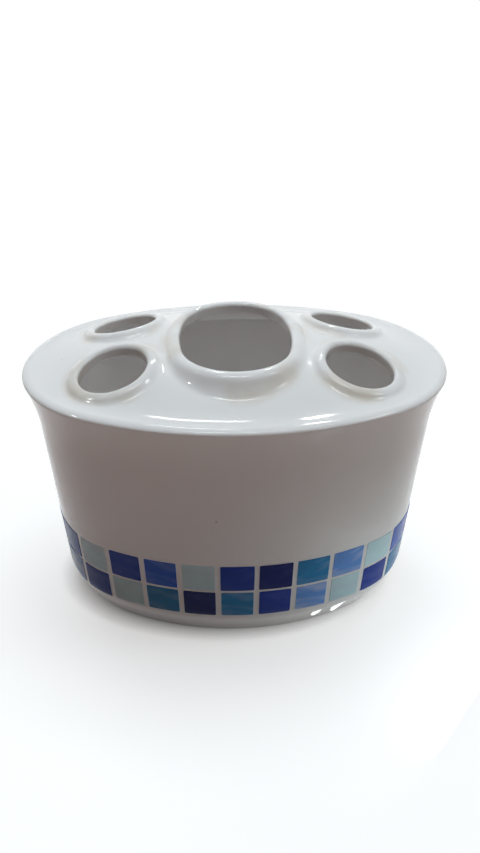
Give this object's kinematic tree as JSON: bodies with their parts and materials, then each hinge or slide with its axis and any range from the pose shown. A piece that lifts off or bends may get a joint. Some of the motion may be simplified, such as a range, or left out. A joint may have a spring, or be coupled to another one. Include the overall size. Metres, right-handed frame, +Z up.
{
  "type": "toothbrush holder",
  "caption": "Oval glazed ceramic toothbrush holder with a domed deck, a large middle mouth, round brush mouths and a mosaic band.",
  "frame": {"origin": "centre of the foot, on the surface that the holder stands on", "axes": "+X along the holder's length, -Y to its front, +Z up"},
  "size_m": [0.13, 0.0874, 0.0963],
  "materials": {
    "glaze_white": "gloss",
    "enamel_navy": "gloss",
    "enamel_midnight": "gloss",
    "enamel_royal": "gloss",
    "enamel_azure": "gloss",
    "enamel_teal": "gloss",
    "enamel_aqua": "gloss"
  },
  "bodies": {
    "root": {"vessel": "glaze_white", "deck": "glaze_white", "squares_navy": "enamel_navy", "squares_midnight": "enamel_midnight", "squares_royal": "enamel_royal", "squares_azure": "enamel_azure", "squares_teal": "enamel_teal", "squares_aqua": "enamel_aqua"}
  },
  "joints": []
}
